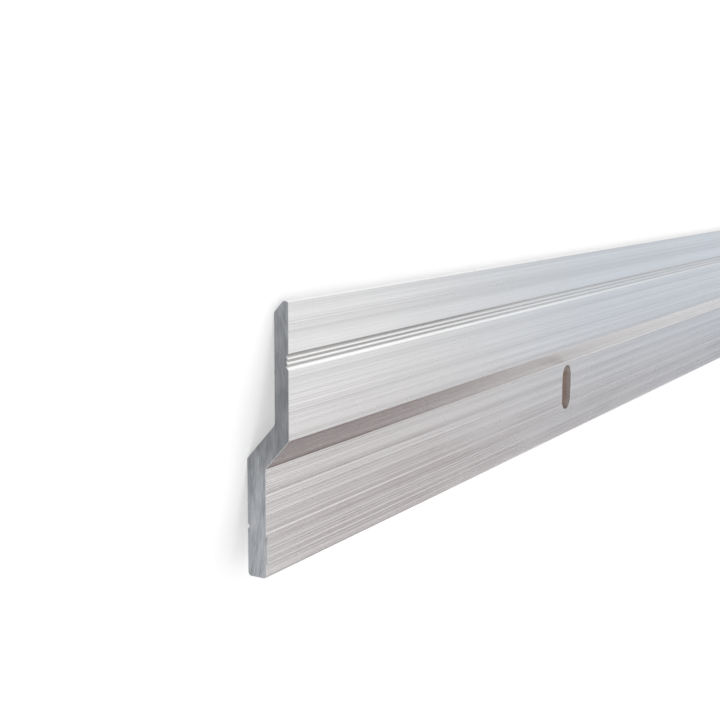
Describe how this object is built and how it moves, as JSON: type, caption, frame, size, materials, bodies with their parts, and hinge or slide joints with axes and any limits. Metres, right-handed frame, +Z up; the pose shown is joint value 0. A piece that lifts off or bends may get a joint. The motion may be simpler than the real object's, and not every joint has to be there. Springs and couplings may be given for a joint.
{
  "type": "aluminium extrusion profile, Z-section hanging rail",
  "caption": "Straight aluminium extrusion with a Z section: a hook leg with a ribbed band, a slanted web and a thicker fixing leg with upright screw slots, for hanging panels.",
  "frame": {"origin": "on the floor, under the middle of the rail's length and breadth", "axes": "+X along the rail, +Y from the fixing leg towards the hook tip, +Z up as the rail lies at rest"},
  "size_m": [1, 0.0506, 0.0085],
  "materials": {
    "mill_aluminium": "satin, as extruded, with fine die lines along it and sawn ends"
  },
  "bodies": {
    "root": {"z_rail": "mill_aluminium"}
  },
  "joints": []
}
